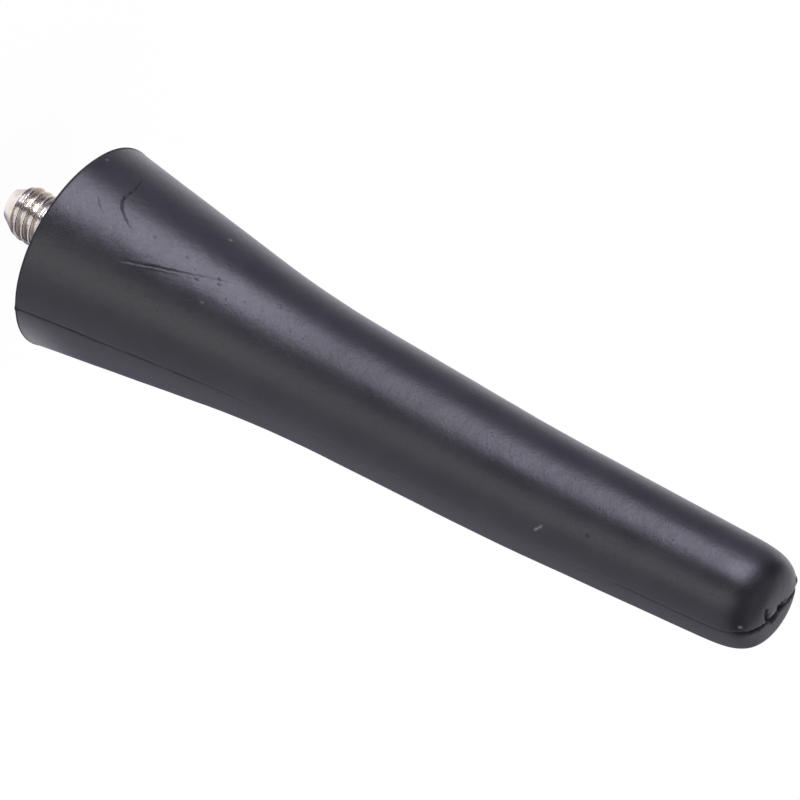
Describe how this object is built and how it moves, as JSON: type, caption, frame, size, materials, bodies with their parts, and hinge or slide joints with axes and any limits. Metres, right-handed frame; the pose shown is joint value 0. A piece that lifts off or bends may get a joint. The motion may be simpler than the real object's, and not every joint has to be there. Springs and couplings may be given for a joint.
{
  "type": "car mast aerial",
  "caption": "Short rubber-covered car roof aerial mast with a flared foot, a rounded tip and a threaded metal stud, with a wire winding on a rod inside.",
  "frame": {"origin": "centre of the seat, where the stud leaves the flat underside of the foot", "axes": "+Z along the mast towards its tip; the threaded stud points along -Z"},
  "size_m": [0.019, 0.019, 0.08],
  "materials": {
    "black_rubber": "satin moulded rubber",
    "nickel_plate": "bright nickel plate on brass",
    "glass_fibre": "resin-bound glass fibre",
    "enamelled_copper": "enamelled copper wire",
    "shrink_tube": "heat-shrunk tube",
    "solder": "dull solder"
  },
  "bodies": {
    "root": {"mast_cover": "black_rubber", "threaded_stud": "nickel_plate", "winding_rod": "glass_fibre", "antenna_winding": "enamelled_copper", "shrink_sleeve": "shrink_tube", "solder_joint": "solder"}
  },
  "joints": []
}
